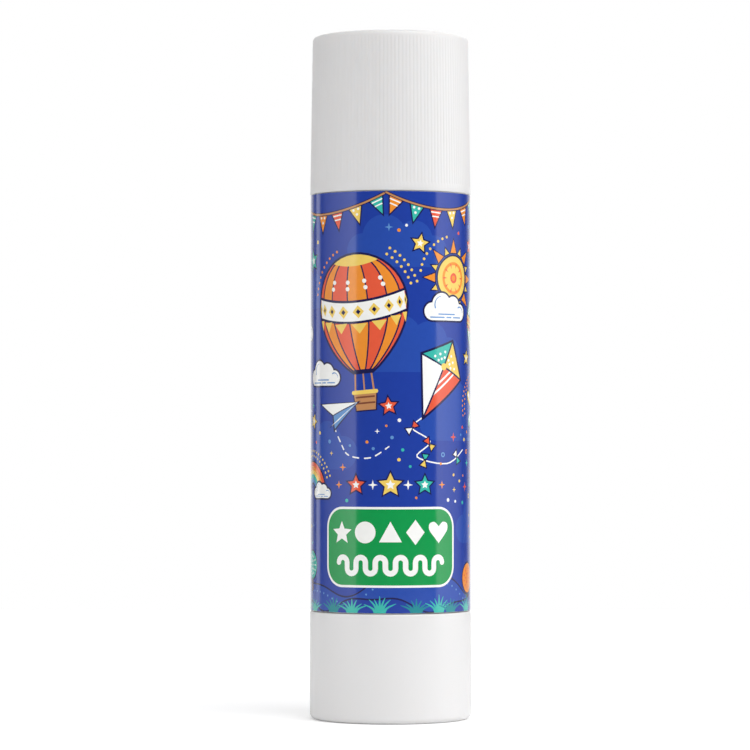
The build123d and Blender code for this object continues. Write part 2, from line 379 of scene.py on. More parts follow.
def make_glue():
    count = 192
    top, low = glue_high.z, glue_low.z
    rng = random.Random(7)
    swell = [(rng.uniform(0, tau), rng.randint(2, 5), rng.uniform(0.2, 0.6)) for _ in range(5)]

    def skin(z):
        """Uneven skin at a level, never outside the solid's radius."""
        waves = lambda a: sum(h * sin(k * a + p + 220 * z * k) for p, k, h in swell)
        return lambda a: glue_skin * (0.5 + 0.2 * waves(a))

    rings = [[(0, 0, top - 0.25 * MM)]]
    for r, z in ((1.2, -0.24), (3.0, -0.20), (4.6, -0.12), (5.8, -0.04), (6.35, 0.0)):
        rings.append(circle_points(r * MM, top + z * MM, count))
    for r, z in arc(glue_radius - 0.45 * MM, top - 0.45 * MM, 0.45 * MM, 80, 0, 6):
        rings.append(circle_points(r, z, count, skin(z)))
    for z in (*np.linspace(top - 1.2 * MM, glue_cup_top + 0.6 * MM, 56), glue_cup_top):
        rings.append(circle_points(glue_radius, z, count, skin(z)))
    profile = [(glue_foot_radius, glue_cup_top), (glue_foot_radius, low), (glue_nut_radius, low)]
    profile += [(glue_nut_radius, glue_nut_top), (glue_bore, glue_nut_top), (glue_bore, glue_bore_top)]
    rings += [circle_points(r, z, count) for r, z in profile]
    rings.append([(0, 0, glue_bore_top)])
    return turned("glue_stick_core", rings, glue_material)


# The print: flat shapes on the unrolled film, in painter's order.
# x runs along the turn, 0 at the front and growing to the right; y is the height above the film's lower end.
film_turn = tau * label_radius / MM
film_lap = 3.0
film_thickness = 0.0775
film_step = 0.08
film_slope = 0.6
film_left = -(film_turn + film_lap) / 2
film_right = -film_left
line_width = 0.2
shapes = []
taken = []


def draw(ink, points):
    """Adds one filled outline, and again one turn away where it reaches round the back."""
    points = np.array(points, float)
    low, high = points[:, 0].min(), points[:, 0].max()
    for turn in (-film_turn, 0, film_turn):
        if high + turn > film_left and low + turn < film_right:
            shapes.append((ink, points + (turn, 0)))


def grown(points, amount):
    """The outline moved outwards by amount, its sharp corners kept short."""
    points = np.array(points, float)
    before, after = np.roll(points, 1, 0), np.roll(points, -1, 0)
    area = np.sum(before[:, 0] * points[:, 1] - points[:, 0] * before[:, 1])
    side = 1 if area > 0 else -1

    def normals(edge):
        length = np.maximum(np.hypot(edge[:, 0], edge[:, 1]), 1e-9)
        return side * np.stack([edge[:, 1], -edge[:, 0]], 1) / length[:, None]

    first, second = normals(points - before), normals(after - points)
    middle = first + second
    middle /= np.maximum(np.hypot(middle[:, 0], middle[:, 1]), 1e-6)[:, None]
    reach = amount / np.maximum(np.sum(middle * first, 1), 0.45)
    return points + middle * reach[:, None]


def inked(ink, points, line=line_width):
    """A filled outline with a dark line round it."""
    draw("navy", grown(points, line))
    draw(ink, points)


def oval(x, y, rx, ry=None, start=0, end=360, step=0.32):
    """Points of an ellipse or of a part of one."""
    ry = rx if ry is None else ry
    count = max(10, int(radians(abs(end - start)) * max(rx, ry) / step))
    whole = abs(end - start) >= 360
    turns = [radians(start + (end - start) * n / count) for n in range(count + (not whole))]
    return [(x + rx * cos(a), y + ry * sin(a)) for a in turns]


def through(points, steps=6, closed=False):
    """Smooth line through points."""
    points = [np.array(p, float) for p in points]
    count = len(points)
    near = lambda i: points[i % count if closed else min(max(i, 0), count - 1)]
    line = []
    for i in range(count if closed else count - 1):
        a, b, c, d = (near(i + n) for n in (-1, 0, 1, 2))
        for n in range(steps):
            t = n / steps
            line.append(
                0.5 * (2 * b + (c - a) * t + (2 * a - 5 * b + 4 * c - d) * t**2
                       + (3 * b - a - 3 * c + d) * t**3)
            )
    if not closed:
        line.append(points[-1])
    return [tuple(p) for p in line]


def stroke(points, width, end_width=None):
    """Outline of a line of this width with round ends, tapering to end_width if it is given."""
    points = np.array(points, float)
    along = np.gradient(points, axis=0)
    along /= np.maximum(np.hypot(along[:, 0], along[:, 1]), 1e-9)[:, None]
    across = np.stack([-along[:, 1], along[:, 0]], 1)
    end_width = width if end_width is None else end_width
    half = np.linspace(width, end_width, len(points))[:, None] / 2
    left, right = points + across * half, points - across * half
    heading = degrees(atan2(along[-1][1], along[-1][0]))
    tail = degrees(atan2(along[0][1], along[0][0]))
    front = oval(*points[-1], half[-1][0], None, heading + 75, heading - 75, 0.2)
    back = oval(*points[0], half[0][0], None, tail + 255, tail + 105, 0.2)
    return [*map(tuple, left), *front, *map(tuple, right[::-1]), *back]


def keep_clear(points, reach):
    """Keeps scattered marks this far from the points of a motif or a line."""
    taken.extend((x, y, reach) for x, y in points)


def free(x, y, room):
    """Whether a mark of this radius is clear of every motif."""
    for px, py, reach in taken:
        across = (x - px + film_turn / 2) % film_turn - film_turn / 2
        if hypot(across, y - py) < reach + room:
            return False
    return True


def placed(points, x, y, size=1, turn=0):
    """Points of a motif's own outline, put in their place on the film."""
    c, s = cos(radians(turn)), sin(radians(turn))
    return [(x + size * (c * u - s * v), y + size * (s * u + c * v)) for u, v in points]


def star_points(radius, inner, tips, turn=90):
    """Corners of a star, its tips at radius and the corners between them at inner."""
    turns = [radians(turn + 180 * n / tips) for n in range(2 * tips)]
    reach = [radius, inner] * tips
    return [(r * cos(a), r * sin(a)) for r, a in zip(reach, turns)]


def balloon(x, y, size, stripes, band, trim, turn=0):
    """Hot-air balloon: size is the radius of its envelope, with gores, a patterned band and a basket."""
    put = lambda points: placed(points, x, y, size, turn)
    keep_clear([(x, y - 0.4 * size)], 1.9 * size)

    def width(v):
        if v >= 0:
            return sqrt(max(0, 1 - v * v))
        return 0.2 + 0.8 * cos(pi / 2 * min(1, -v / 1.35)) ** 0.85

    levels = [cos(radians(a)) for a in range(0, 90, 9)] + list(np.linspace(0, -1.35, 14))
    right = [(width(v), v) for v in levels]
    left = [(-w, v) for w, v in reversed(right[1:])]
    for end in (-1, 1):
        rope = stroke([(0.17 * end, -1.36), (0.2 * end, -1.78)], 0.035)
        draw("tan", put(rope))
    draw("tan", put(stroke([(0, -1.36), (0, -1.78)], 0.03)))
    basket = [(-0.24, -1.76), (0.24, -1.76), (0.2, -2.12), (-0.2, -2.12)]
    inked("tan", put(basket), line_width * 0.8)
    for v in (-1.86, -1.98):
        draw("brown", put(stroke([(-0.19, v), (0.19, v)], 0.035)))
    draw("yellow", put(stroke([(-0.24, -1.76), (0.24, -1.76)], 0.08)))
    inked(stripes[0], put(right + left), line_width * 1.3)
    gores = 7
    splits = [sin(pi * (n / gores - 0.5)) for n in range(gores + 1)]
    for n in range(gores):
        ink = stripes[n % len(stripes)]
        a, b = splits[n], splits[n + 1]
        draw(ink, put([(a * w, v) for w, v in right] + [(b * w, v) for w, v in reversed(right)]))
    for split in splits[1:-1]:
        draw("navy", put(stroke([(split * w, v) for w, v in right[1:]], 0.03)))
    across = np.linspace(-1, 1, 19)
    hang = lambda v, u: (u * width(v), v - 0.16 * (1 - u * u))
    upper, lower = 0.22, -0.2
    belt = [hang(upper, u) for u in across] + [hang(lower, u) for u in across[::-1]]
    draw(band, put(belt))
    for level in (upper, lower):
        draw("navy", put(stroke([hang(level, u) for u in across], 0.05)))
    bends = lambda count: [pi * ((n + 0.5) / count - 0.5) for n in range(count)]
    for bend in bends(9):
        u, wide = sin(bend), 0.115 * cos(bend) + 0.01
        cx, cy = hang((upper + lower) / 2, u)
        diamond = [(cx, cy + 0.13), (cx + wide, cy), (cx, cy - 0.13), (cx - wide, cy)]
        draw(trim, put(diamond))
        inner = [(cx + (px - cx) * 0.42, cy + (py - cy) * 0.42) for px, py in diamond]
        draw("navy", put(inner))
    for bend in bends(7):
        u, flap = sin(bend), 0.16 * cos(bend) + 0.01
        cx, cy = hang(lower - 0.03, u)
        draw(trim, put([(cx - flap, cy), (cx, cy - 0.2), (cx + flap, cy)]))
    for u in (-0.62, -0.22, 0.22, 0.62):
        for v in (0.55, 0.42):
            cx, cy = u * width(v), v - 0.1 * (1 - u * u)
            draw("white", put(oval(cx, cy, 0.045, step=0.02)))
    cap_line = [(u * 0.5, 0.86 - 0.09 * (1 - u * u)) for u in across]
    crown = [(w, v) for w, v in right if v > 0.84]
    draw(trim, put([(-w, v) for w, v in reversed(crown)] + crown[1:] + cap_line[::-1]))
    draw("navy", put(stroke([(-0.2, -1.34), (0.2, -1.34)], 0.07)))


def kite(x, y, size, four, turn, tail):
    """Diamond kite in four colours, with a bowed tail that hangs along the given points."""
    put = lambda points: placed(points, x, y, size, turn)
    keep_clear([(x, y)], 1.25 * size)
    string = through([put([(0, -1.15)])[0], *tail])
    keep_clear(string[::3], 0.4)
    draw("white", stroke(string, 0.16))
    for n in range(6, len(string) - 2, 7):
        (px, py), (qx, qy) = string[n], string[n + 1]
        heading = degrees(atan2(qy - py, qx - px))
        keep_clear([(px, py)], 1.1)
        for end, ink in ((1, four[n % 4]), (-1, four[(n + 1) % 4])):
            bow = [(0, 0), (0.3, 0.75 * end), (-0.45, 0.65 * end)]
            inked(ink, placed(bow, px, py, 1, heading), line_width * 0.7)
    top, right, low, left = (0, 0.95), (0.72, 0.25), (0, -1.15), (-0.72, 0.25)
    middle = (0, 0.25)
    inked(four[0], put([top, right, low, left]), line_width * 1.3)
    for ink, pair in zip(four, ((left, top), (top, right), (right, low), (low, left))):
        draw(ink, put([middle, *pair]))
    drawn_in = lambda u, v, share: (u * share, middle[1] + (v - middle[1]) * share)
    for share in (0.36, 0.56):
        for a, b in ((left, low), (low, right)):
            draw("white", put(stroke([drawn_in(*a, share), drawn_in(*b, share)], 0.05)))
    for share in (0.42, 0.68):
        for (ax, ay), (bx, by) in ((left, top), (top, right)):
            for t in (0.25, 0.5, 0.75):
                dot = drawn_in(ax + (bx - ax) * t, ay + (by - ay) * t, share)
                draw("white", put(oval(*dot, 0.035, step=0.02)))
    for line in ([top, low], [left, right]):
        draw("navy", put(stroke(line, 0.045)))
    draw("yellow", put(oval(*middle, 0.09, step=0.05)))


def cloud_heap(x, y, size):
    """Outlines of a cloud's puffs and of its flat foot."""
    puffs = ((-2.3, 0, 1.0), (-0.95, 0.75, 1.35), (0.85, 0.55, 1.2), (2.15, -0.05, 0.95))
    foot = [(-2.3, -1.0), (2.15, -1.0), (2.15, 0.2), (-2.3, 0.2)]
    return [placed(outline, x, y, size) for outline in [oval(px, py, r) for px, py, r in puffs] + [foot]]


def cloud(x, y, size):
    """White cloud with a shaded lower side."""
    keep_clear([(x - size, y), (x + size, y)], 2.2 * size)
    heap = cloud_heap(x, y, size)
    for outline in heap:
        draw("navy", grown(outline, line_width * 1.1))
    for outline in heap:
        draw("white", outline)
    for px, py, r, start, end in ((-0.95, 0.75, 0.98, 95, 200), (2.15, -0.05, 0.62, 0, 120)):
        curl = oval(px, py, r, None, start, end, 0.25)
        draw("sky", placed(stroke(curl, 0.05, 0.17), x, y, size))
    for low, high, level in ((-2.5, -0.6, -0.66), (-0.2, 0.5, -0.66), (0.9, 2.2, -0.66), (-1.4, 1.1, -0.3)):
        draw("sky", placed(stroke([(low, level), (high, level)], 0.15), x, y, size))


def sun(x, y, size):
    """Patterned sun with long and short rays."""
    keep_clear([(x, y)], 1.8 * size)
    for n in range(16):
        far, wide = (1.75, 0.2) if n % 2 == 0 else (1.45, 0.13)
        ray = [(1.16, -wide), (far, 0), (1.16, wide)]
        turn = 360 * n / 16
        inked("orange" if n % 2 == 0 else "yellow", placed(ray, x, y, size, turn), line_width * 0.7)
    inked("yellow", oval(x, y, size))
    draw("orange", oval(x, y, size * 0.74))
    draw("yellow", oval(x, y, size * 0.6))
    for n in range(10):
        turn = 36 * n
        draw("coral", placed([(0.64, -0.045), (0.7, 0), (0.64, 0.045), (0.44, 0)], x, y, size, turn))
    draw("coral", oval(x, y, size * 0.24))
    draw("orange", oval(x, y, size * 0.13))


def rainbow(x, y, size):
    """Rainbow between two small clouds."""
    keep_clear([(x, y + 1.5 * size)], 3 * size)
    half_disc = lambda radius: oval(x, y, radius, None, 0, 180) + [(x, y)]
    draw("navy", half_disc(3.1 * size + line_width))
    for n, ink in enumerate(("coral", "orange", "yellow", "teal", "sky", "navy")):
        draw(ink, half_disc((3.1 - 0.42 * n) * size))
    draw("blue", half_disc((3.1 - 0.42 * 5) * size - line_width))
    cloud(x - 2.4 * size, y - 0.1 * size, 0.52 * size)
    cloud(x + 2.4 * size, y - 0.1 * size, 0.52 * size)


def paper_plane(x, y, size, turn, trail):
    """Folded paper plane with a dashed trail."""
    put = lambda points: placed(points, x, y, size, turn)
    keep_clear([(x, y)], 1.2 * size)
    path = through(trail, 8)
    keep_clear(path[::4], 0.4)
    for n in range(0, len(path) - 2, 4):
        draw("white", stroke(path[n : n + 3], 0.17))
    upper = [(1.15, 0.3), (-1.1, 0.75), (-0.35, 0.05)]
    fold = [(1.15, 0.3), (-0.35, 0.05), (-0.42, -0.6)]
    keel = [(1.15, 0.3), (-0.12, -0.28), (-0.62, -0.42)]
    for outline in (upper, fold, keel):
        draw("navy", grown(put(outline), line_width))
    for ink, outline in (("sky", fold), ("white", keel), ("white", upper)):
        draw(ink, put(outline))
    draw("navy", put(stroke([(1.0, 0.27), (-0.35, 0.05)], 0.05)))


def bunting(x_from, x_to, level, sag, inks_used):
    """String of small flags hung between two points."""
    middle, half = (x_from + x_to) / 2, (x_to - x_from) / 2
    line = lambda x: level - sag * (1 - ((x - middle) / half) ** 2)
    count = int((x_to - x_from) / 2.35)
    for n in range(count):
        x = x_from + (n + 0.5) * (x_to - x_from) / count
        y = line(x)
        slope = degrees(atan(2 * sag * (x - middle) / half**2))
        flag = [(-0.85, 0), (0.85, 0), (0, -2.1)]
        ink = inks_used[n % len(inks_used)]
        inked(ink, placed(flag, x, y, 1, slope), line_width * 0.9)
        if n % 2:
            for u, v in ((-0.32, -0.42), (0.32, -0.42), (0, -1.0)):
                draw("white", placed(oval(u, v, 0.16, step=0.12), x, y, 1, slope))
        else:
            for v in (-0.45, -0.95):
                wide = 0.85 * (1 + v / 2.1) - 0.05
                draw("white", placed(stroke([(-wide, v), (wide, v)], 0.16), x, y, 1, slope))
        keep_clear([(x, y - 0.9)], 1.5)
    string = [(x, line(x)) for x in np.linspace(x_from, x_to, 40)]
    draw("navy", stroke(string, 0.42))
    draw("tan", stroke(string, 0.22))


def pinwheel(x, y, size, stick, blades=("coral", "yellow", "teal", "orange")):
    """Toy windmill of folded paper on a stick."""
    keep_clear([(x, y)], 1.2 * size)
    foot = (x + stick[0], y + stick[1])
    keep_clear([(x + stick[0] * t, y + stick[1] * t) for t in (0.4, 0.5, 0.6, 0.7, 0.8, 0.9, 1)], 0.5)
    draw("navy", stroke([(x, y), foot], 0.62))
    draw("tan", stroke([(x, y), foot], 0.34))
    blade = through([(0, 0), (0.15, 0.62), (0.62, 0.98), (0.72, 0.62), (0.42, 0.3)], 4, closed=True)
    fold = [(0, 0), (0.62, 0.98), (0.72, 0.62)]
    for n, ink in enumerate(blades):
        inked(ink, placed(blade, x, y, size, 90 * n), line_width)
        draw("white", placed(fold, x, y, size * 0.93, 90 * n + 1))
    inked("white", oval(x, y, size * 0.14), line_width * 0.7)


def umbrella(x, y, size, turn, stripes):
    """Open umbrella with a hooked handle."""
    put = lambda points: placed(points, x, y, size, turn)
    keep_clear([(x, y + 0.1 * size)], 1.2 * size)
    handle = through([(0, 0.9), (0, -0.75), (0.06, -0.92), (0.2, -0.96), (0.3, -0.84)], 4)
    draw("navy", put(stroke(handle, 0.15)))
    draw("tan", put(stroke(handle, 0.07)))
    splits = (-1, -0.54, 0, 0.54, 1)
    scallop = lambda a, b: [(a + (b - a) * n / 6, 0.15 * sin(pi * n / 6)) for n in range(7)]
    quarter = [radians(a) for a in range(0, 91, 9)]
    rib = lambda s: [(s * cos(a), 0.86 * sin(a)) for a in quarter]
    rim = [point for a, b in zip(splits, splits[1:]) for point in scallop(a, b)[:-1]]
    inked(stripes[0], put(rim + rib(1) + rib(-1)[-2:0:-1]), line_width * 1.2)
    for n, (a, b) in enumerate(zip(splits, splits[1:])):
        draw(stripes[n % len(stripes)], put(scallop(a, b) + rib(b)[1:] + rib(a)[-2:0:-1]))
    for s in splits[1:-1]:
        draw("navy", put(stroke(rib(s), 0.04)))
    draw("navy", put(stroke([(0, 0.84), (0, 1.0)], 0.08)))


def round_tree(x, y, height, crown, ink, inner):
    """Round-headed tree with rings of leaves."""
    trunk = [(x, y), (x, y + height)]
    draw("navy", stroke(trunk, 0.75, 0.6))
    draw("brown", stroke(trunk, 0.42, 0.3))
    head = y + height + 0.6 * crown
    keep_clear([(x, head)], 1.25 * crown)
    inked(ink, oval(x, head, crown, crown * 1.1))
    for share, count in ((0.72, 11), (0.36, 6)):
        for n in range(count):
            turn = 360 * n / count
            leaf = [(share - 0.13, 0), (share, 0.09), (share + 0.13, 0), (share, -0.09)]
            draw(inner, placed(leaf, x, head, crown, turn))


def house(x, y, size, wall, roof):
    """Small house on a hill."""
    put = lambda points: placed(points, x, y, size)
    keep_clear([(x, y + size)], 1.4 * size)
    inked(wall, put([(-0.8, 0), (0.8, 0), (0.8, 1.1), (-0.8, 1.1)]))
    inked(roof, put([(-1.05, 1.05), (1.05, 1.05), (0, 2.0)]))
    draw("brown", put([(-0.2, 0), (0.25, 0), (0.25, 0.65), (-0.2, 0.65)]))
    draw("sky", put(oval(0, 1.42, 0.2, step=0.1)))


def star(x, y, size, ink, turn=90):
    """Five-pointed star with a small one inside."""
    keep_clear([(x, y)], 1.2 * size)
    inked(ink, placed(star_points(size, 0.48 * size, 5, turn), x, y), line_width * 0.8)
    draw("white", placed(star_points(0.42 * size, 0.2 * size, 5, turn), x, y))


def sparkle(x, y, size, ink):
    draw(ink, placed(star_points(size, 0.3 * size, 4), x, y))


def dotted_rings(x, y, radii, ink, dot, start=0, end=360):
    """Rings or arcs of small dots."""
    for radius in radii:
        count = max(3, int(radians(end - start) * radius / (dot * 4.2)))
        for n in range(count):
            a = radians(start + (end - start) * (n + 0.5) / count)
            px, py = x + radius * cos(a), y + radius * sin(a)
            keep_clear([(px, py)], 0.5)
            draw(ink, oval(px, py, dot, step=0.12))


def hills(ink, base, waves):
    """Rolling ground right round the film. Gives the height of its crest at a place."""
    crest = lambda x: base + sum(h * sin(tau * k * x / film_turn + p) for k, h, p in waves)
    xs = np.arange(film_left - 1, film_right + 1.5, 0.5)
    for colour, rise in (("navy", line_width), (ink, 0)):
        shapes.append((colour, np.array([(xs[0], -1), *((x, crest(x) + rise) for x in xs), (xs[-1], -1)])))
    return crest


# Tufts of grass, tries to place a scattered mark, and the level of the buntings' ends
grass_tufts = 17
scatter_tries = 2400
bunting_level = 49.6

# The two places under the motifs: a green panel with a white edge, and a row of stars above it
star_row = 15.1
panel_half = 8.6
panel_low = 3.0
panel_high = 12.5
panel_round = 2.5
panel_edge = 0.27


def rounded_box(half, low, high, corner):
    """Outline of a panel with round corners."""
    left, right, foot, head = corner - half, half - corner, low + corner, high - corner
    points = []
    for n, (x, y) in enumerate(((right, head), (left, head), (left, foot), (right, foot))):
        points += oval(x, y, corner, None, 90 * n, 90 * n + 90, 0.25)
    return points


def glue_trail(y, bends, bend, rise):
    """Line that winds up and down from left to right in half circles."""
    line = []
    for n in range(bends):
        side = 1 if n % 2 == 0 else -1
        middle = bend * (2 * n + 1 - bends)
        line += oval(middle, y + side * rise, bend, None, 180, 180 - 180 * side, 0.2)
    return line


def panel():
    """Green panel with a row of plain cut-out shapes and a winding trail of glue under them."""
    draw("white", rounded_box(panel_half, panel_low, panel_high, panel_round))
    edge = panel_edge
    draw("green", rounded_box(panel_half - edge, panel_low + edge, panel_high - edge, panel_round - edge))
    middle = (panel_low + panel_high) / 2
    keep_clear([(x, middle) for x in (-7, -3.5, 0, 3.5, 7)], 5)
    row, radius = middle + 1.75, 1.35
    heart = through([(0, 0.5), (0.45, 0.9), (0.95, 0.75), (0.98, 0.2), (0.5, -0.4), (0, -0.95)], 5)
    for outline in (
        placed(star_points(1.05, 0.48, 5), -6.15, row - 0.1, radius),
        oval(-3.05, row, 0.95 * radius, step=0.2),
        placed([(-1, -0.85), (1, -0.85), (0, 0.95)], 0, row, radius),
        placed([(0, 1.1), (0.85, 0), (0, -1.1), (-0.85, 0)], 3.0, row, radius),
        placed(heart + [(-u, v) for u, v in heart[-2:0:-1]], 6.1, row, radius),
        stroke(glue_trail(middle - 2.15, 11, 0.6, 0.35), 0.66),
    ):
        draw("white", outline)


def artwork():
    """Every motif of the print, from the ground up to the sky."""
    for x, y, size in (
        (-10.5, 19.0, 2.1), (11.0, 22.6, 2.3), (1.2, 42.8, 2.0), (-18.4, 43.0, 1.8), (-24.6, 12.6, 2.0),
        (24.8, 37.6, 2.0), (-22.0, 33.6, 1.9), (19.6, 24.6, 1.8), (3.0, 30.6, 2.2), (-29.8, 24.0, 2.0),
        (14.6, 9.8, 1.7), (-12.6, 37.6, 1.5),
    ):
        for outline in cloud_heap(x, y, size):
            draw("dusk", outline)
    far_hills = hills("dusk", 3.4, ((3, 1.3, 0.6), (7, 0.5, 2.0)))
    for x in np.arange(film_left, film_right, 0.8):
        draw("sky", oval(x, far_hills(x) - 0.75, 0.12, step=0.1))
    for x, crown, ink, inner in (
        (-12.6, 1.5, "teal", "white"), (-24.5, 1.7, "orange", "coral"), (-19.0, 1.3, "yellow", "orange"),
        (12.2, 1.6, "orange", "coral"), (20.5, 1.4, "teal", "white"), (27.0, 1.6, "yellow", "orange"),
    ):
        round_tree(x, far_hills(x) - 0.6, 1.9, crown, ink, inner)
    for x, wall, roof in ((-15.8, "white", "coral"), (16.4, "yellow", "coral"), (24.0, "white", "orange")):
        house(x, far_hills(x) - 0.5, 1.25, wall, roof)
    hills("blue", 1.0, ((4, 0.8, 2.4), (9, 0.3, 0.4)))
    rng = random.Random(5)
    for n in range(grass_tufts):
        x = film_left + (n + rng.uniform(0.15, 0.85)) * film_turn / grass_tufts
        ink = rng.choice(("teal", "teal", "deep_teal"))
        tall = rng.uniform(1.7, 2.7)
        if abs(x) < panel_half + 1.2:
            tall = min(tall, panel_low - 0.7)
        for lean in np.linspace(-1, 1, 7):
            height = tall * rng.uniform(0.8, 1) * (1 - 0.45 * abs(lean))
            blade = [(x + 0.45 * lean, -0.3), (x + 0.8 * lean, 0.5 * height), (x + 1.9 * lean, height)]
            draw(ink, stroke(through(blade, 3), 0.44, 0.06))
    panel()
    for x, ink in ((-4.2, "coral"), (0, "yellow"), (4.2, "teal")):
        star(x, star_row, 1.45 if ink == "yellow" else 1.15, ink)
    for x, size, ink in ((2.1, 0.6, "white"), (6.6, 0.5, "orange")):
        for side in (-1, 1):
            sparkle(side * x, star_row, size, ink)
    keep_clear([(x, star_row) for x in (-6.6, -4.2, -2.1, 0, 2.1, 4.2, 6.6)], 1.3)

    bunting(-18.5, -0.5, bunting_level, 2.4, ("coral", "yellow", "teal", "orange"))
    bunting(-0.5, 14.5, bunting_level, 1.9, ("orange", "teal", "coral", "yellow"))
    bunting(14.5, film_turn - 18.5, bunting_level, 3.0, ("coral", "yellow", "teal", "orange"))
    balloon(-4.0, 36.4, 5.9, ("coral", "orange"), "white", "yellow", 5)
    sun(8.6, 39.6, 2.6)
    cloud(7.6, 35.6, 1.05)
    tail = [(2.6, 21.8), (4.9, 20.2), (3.2, 18.4), (7.4, 17.6), (10.6, 19.2)]
    kite(6.4, 28.0, 4.7, ("teal", "yellow", "coral", "white"), -26, tail)
    paper_plane(-6.6, 23.4, 2.5, 14, [(-0.2, 19.6), (-2.4, 18.3), (-5.2, 18.6), (-6.4, 20.2), (-7.6, 22.4)])
    cloud(-9.4, 27.8, 0.95)
    rainbow(-12.6, 14.2, 1.15)
    pinwheel(14.6, 24.4, 2.5, (0.9, -8.2))
    balloon(15.2, 34.6, 3.0, ("teal", "white"), "yellow", "coral", -5)
    cloud(-15.4, 33.2, 0.9)
    sun(-18.9, 39.4, 2.3)
    tail = [(-17.6, 22.6), (-20.4, 20.8), (-18.2, 18.6), (-21.0, 16.8)]
    kite(-20.4, 29.0, 3.8, ("orange", "white", "teal", "coral"), 22, tail)
    umbrella(-26.2, 19.4, 3.0, 14, ("yellow", "coral", "white"))
    balloon(-26.0, 37.4, 3.6, ("yellow", "coral"), "white", "teal", -4)
    cloud(-25.2, 27.2, 0.9)
    paper_plane(20.6, 40.8, 2.1, -164, [(28.8, 37.4), (26.8, 39.6), (24.4, 38.2), (22.6, 40.6)])
    tail = [(19.8, 24.6), (21.8, 22.4), (19.8, 20.4), (22.2, 18.4)]
    kite(21.4, 30.8, 3.8, ("coral", "yellow", "white", "teal"), -16, tail)
    cloud(26.4, 32.8, 0.85)
    umbrella(19.0, 15.2, 2.7, -18, ("coral", "white", "orange"))
    rainbow(26.2, 16.2, 1.0)
    sun(26.6, 25.4, 1.9)
    for x, y, size, ink, turn in (
        (3.6, 43.6, 1.1, "yellow", 80), (-12.2, 41.8, 1.3, "teal", 100), (-0.2, 24.4, 1.05, "coral", 96),
        (-12.0, 22.6, 0.95, "yellow", 70), (13.2, 43.6, 1.1, "coral", 80), (11.8, 30.2, 0.9, "yellow", 85),
        (-15.4, 22.8, 1.1, "orange", 75), (-30.2, 31.6, 1.1, "teal", 95),
    ):
        star(x, y, size, ink, turn)
    dotted_rings(8.6, 39.6, (5.0,), "yellow", 0.17, 100, 175)
    dotted_rings(-4.0, 36.4, (6.9, 7.7), "yellow", 0.17, 18, 62)
    dotted_rings(-4.0, 36.4, (6.9,), "orange", 0.16, 112, 172)
    dotted_rings(-12.6, 14.2, (4.3, 4.9), "yellow", 0.14, 20, 160)
    dotted_rings(14.6, 24.4, (3.4, 4.0), "orange", 0.14, 90, 200)
    rng = random.Random(11)
    for n in range(scatter_tries):
        x, y = rng.uniform(film_left, film_right), rng.uniform(7.5, 46.0)
        kind = rng.choice(("dot", "dot", "dot", "dot", "sparkle", "sparkle", "ring"))
        size = rng.uniform(0.14, 0.25) if kind == "dot" else rng.uniform(0.3, 0.6)
        ink = rng.choice(("yellow", "yellow", "orange", "white", "teal", "sky", "coral"))
        if not free(x, y, size + 0.3):
            continue
        keep_clear([(x, y)], size + 0.2)
        if kind == "dot":
            draw(ink, oval(x, y, size, step=0.12))
        elif kind == "sparkle":
            sparkle(x, y, size, ink)
        else:
            draw(ink, oval(x, y, 0.3, step=0.12))
            draw("blue", oval(x, y, 0.15, step=0.08))


def inside(points, outline):
    """Which of the points lie inside an outline, by the count of its turns about them."""
    low, high = outline.min(0), outline.max(0)
    index = np.nonzero(np.all((points >= low) & (points <= high), axis=1))[0]
    if not len(index):
        return index
    px, py = points[index, 0][:, None], points[index, 1][:, None]
    ax, ay = outline[:, 0][None], outline[:, 1][None]
    after = np.roll(outline, -1, 0)
    bx, by = after[:, 0][None], after[:, 1][None]
    side = (bx - ax) * (py - ay) - (px - ax) * (by - ay)
    turns = ((ay <= py) & (by > py) & (side > 0)).astype(int) - ((ay > py) & (by <= py) & (side < 0))
    return index[turns.sum(1) != 0]


def cut_film(lines, output_type):
    """Corners and triangles of the flat film, with an edge along each of these lines of points."""
    points, edges = [], []
    for line in lines:
        edges += [(len(points) + n, len(points) + n + 1) for n in range(len(line) - 1)]
        points += [Vector((float(x), float(y))) for x, y in line]
    corners, _, faces, _, _, _ = delaunay_2d_cdt(points, edges, [], output_type, 1e-5, False)
    flat = np.array([(c.x, c.y) for c in corners])
    triangles = np.array([f for f in faces if len(f) == 3])
    centres = flat[triangles].mean(1)
    kept = (abs(centres[:, 0]) < film_right) & (centres[:, 1] > 0) & (centres[:, 1] < label_height)
    used, triangles = np.unique(triangles[kept], return_inverse=True)
    return flat[used], triangles.reshape(-1, 3)


